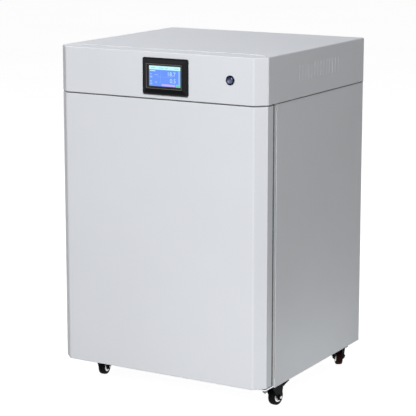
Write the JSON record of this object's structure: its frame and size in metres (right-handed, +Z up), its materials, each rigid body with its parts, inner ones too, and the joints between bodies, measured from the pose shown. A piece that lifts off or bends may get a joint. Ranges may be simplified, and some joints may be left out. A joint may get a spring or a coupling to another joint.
{
  "type": "tri-gas incubator",
  "caption": "Floor-standing insulated incubator on swivel casters, with a hinged outer door, a glass inner door, shelves, a circulation fan and a touch-screen control section on top.",
  "frame": {"origin": "on the floor, in the middle of the whole object's width and depth", "axes": "+X to the right as seen from the front, +Y towards the back, +Z up; the door and the display face -Y"},
  "size_m": [0.62, 0.611, 0.9363],
  "materials": {
    "white_paint": "satin",
    "black_paint": "satin",
    "stainless": "satin",
    "zinc": "satin",
    "brass": "satin",
    "foam": "matte",
    "filter_paper": "matte",
    "silicone": "matte",
    "grey_rubber": "matte",
    "wheel_rubber": "matte",
    "white_plastic": "satin",
    "black_plastic": "satin",
    "bush_plastic": "matte",
    "button_blue": "gloss",
    "screen": "gloss",
    "circuit_board": "satin",
    "clear_glass": "gloss"
  },
  "bodies": {
    "cabinet": {"base_frame": "white_paint", "outer_case": "white_paint", "rear_panel": "white_paint", "front_frame": "white_paint", "insulation": "foam", "chamber_liner": "stainless", "shelf_lower": "stainless", "shelf_middle": "stainless", "shelf_upper": "stainless", "water_tray": "stainless", "air_duct_panel": "stainless", "fan_motor": "zinc", "inlet_filter": "filter_paper", "carbon_dioxide_sensor": "zinc", "oxygen_sensor": "zinc", "temperature_probe": "stainless", "access_port_sleeve": "silicone", "access_port_plug": "silicone", "glass_seal": "silicone", "hinge_bracket_lower": "zinc", "hinge_bracket_upper": "zinc", "fascia_panel": "white_paint", "top_cover": "white_paint", "rear_control_cover": "white_paint", "hmi_bezel": "black_plastic", "hmi_screen": "screen", "hmi_housing": "black_plastic", "power_switch": "stainless", "controller_board": "circuit_board", "power_supply": "zinc", "valve_manifold": "black_plastic", "gas_inlets": "brass", "power_inlet": "black_plastic", "caster_plate_fl": "black_paint", "caster_plate_fr": "black_paint", "caster_plate_rl": "black_paint", "caster_plate_rr": "black_paint"},
    "outer_door": {"door_skin": "white_paint", "door_core": "foam", "door_liner": "white_plastic", "door_gasket": "grey_rubber", "door_pull": "black_plastic", "door_bush_lower": "bush_plastic", "door_bush_upper": "bush_plastic"},
    "inner_door": {"glass_door": "clear_glass", "glass_hinge_lower": "stainless", "glass_hinge_upper": "stainless"},
    "latch": {"glass_latch": "black_plastic"},
    "button": {"power_button": "button_blue"},
    "fan": {"fan_rotor": "black_plastic"},
    "fork_fl": {"caster_fork_fl": "black_paint"},
    "fork_fr": {"caster_fork_fr": "black_paint"},
    "fork_rl": {"caster_fork_rl": "black_paint"},
    "fork_rr": {"caster_fork_rr": "black_paint"},
    "wheel_fl": {"caster_wheel_fl": "wheel_rubber"},
    "wheel_fr": {"caster_wheel_fr": "wheel_rubber"},
    "wheel_rl": {"caster_wheel_rl": "wheel_rubber"},
    "wheel_rr": {"caster_wheel_rr": "wheel_rubber"},
    "pedal_fl": {"brake_pedal_fl": "black_paint"},
    "pedal_fr": {"brake_pedal_fr": "black_paint"}
  },
  "joints": [
    {"name": "outer_door_hinge", "type": "hinge", "parent": "cabinet", "child": "outer_door", "pos_m": [0.299, -0.2625, 0.45], "axis": [0, 0, 1], "range_deg": [0, 120]},
    {"name": "inner_door_hinge", "type": "hinge", "parent": "cabinet", "child": "inner_door", "pos_m": [0.2285, -0.225, 0.43], "axis": [0, 0, 1], "range_deg": [0, 95]},
    {"name": "latch_turn", "type": "hinge", "parent": "inner_door", "child": "latch", "pos_m": [-0.204, -0.2215, 0.43], "axis": [0, 1, 0], "range_deg": [0, 90]},
    {"name": "button_press", "type": "slide", "parent": "cabinet", "child": "button", "axis": [0, 1, 0], "range_m": [0, 0.003], "stiffness_N_per_m": 250},
    {"name": "fan_spin", "type": "hinge", "parent": "cabinet", "child": "fan", "pos_m": [0, 0.1938, 0.61], "axis": [0, 1, 0], "continuous": true},
    {"name": "swivel_fl", "type": "hinge", "parent": "cabinet", "child": "fork_fl", "pos_m": [-0.268, -0.1695, 0.0672], "axis": [0, 0, 1], "continuous": true},
    {"name": "swivel_fr", "type": "hinge", "parent": "cabinet", "child": "fork_fr", "pos_m": [0.268, -0.1695, 0.0672], "axis": [0, 0, 1], "continuous": true},
    {"name": "swivel_rl", "type": "hinge", "parent": "cabinet", "child": "fork_rl", "pos_m": [-0.268, 0.2455, 0.0672], "axis": [0, 0, 1], "continuous": true},
    {"name": "swivel_rr", "type": "hinge", "parent": "cabinet", "child": "fork_rr", "pos_m": [0.268, 0.2455, 0.0672], "axis": [0, 0, 1], "continuous": true},
    {"name": "wheel_roll_fl", "type": "hinge", "parent": "fork_fl", "child": "wheel_fl", "pos_m": [-0.27078, -0.14969, 0.0235], "axis": [0.9903, 0.1392, 0], "continuous": true},
    {"name": "wheel_roll_fr", "type": "hinge", "parent": "fork_fr", "child": "wheel_fr", "pos_m": [0.27044, -0.14965, 0.0235], "axis": [0.9925, -0.1219, 0], "continuous": true},
    {"name": "wheel_roll_rl", "type": "hinge", "parent": "fork_rl", "child": "wheel_rl", "pos_m": [-0.27284, 0.26491, 0.0235], "axis": [0.9703, 0.2419, 0], "continuous": true},
    {"name": "wheel_roll_rr", "type": "hinge", "parent": "fork_rr", "child": "wheel_rr", "pos_m": [0.25682, 0.26208, 0.0235], "axis": [0.829, 0.5592, 0], "continuous": true},
    {"name": "brake_fl", "type": "hinge", "parent": "fork_fl", "child": "pedal_fl", "pos_m": [-0.27218, -0.13979, 0.05], "axis": [0.9903, 0.1392, 0], "range_deg": [-14, 0]},
    {"name": "brake_fr", "type": "hinge", "parent": "fork_fr", "child": "pedal_fr", "pos_m": [0.27166, -0.13972, 0.05], "axis": [0.9925, -0.1219, 0], "range_deg": [-14, 0]}
  ],
  "couplings": [
    {"joint": "inner_door_hinge", "follows": "outer_door_hinge", "ratio": 0.79}
  ]
}
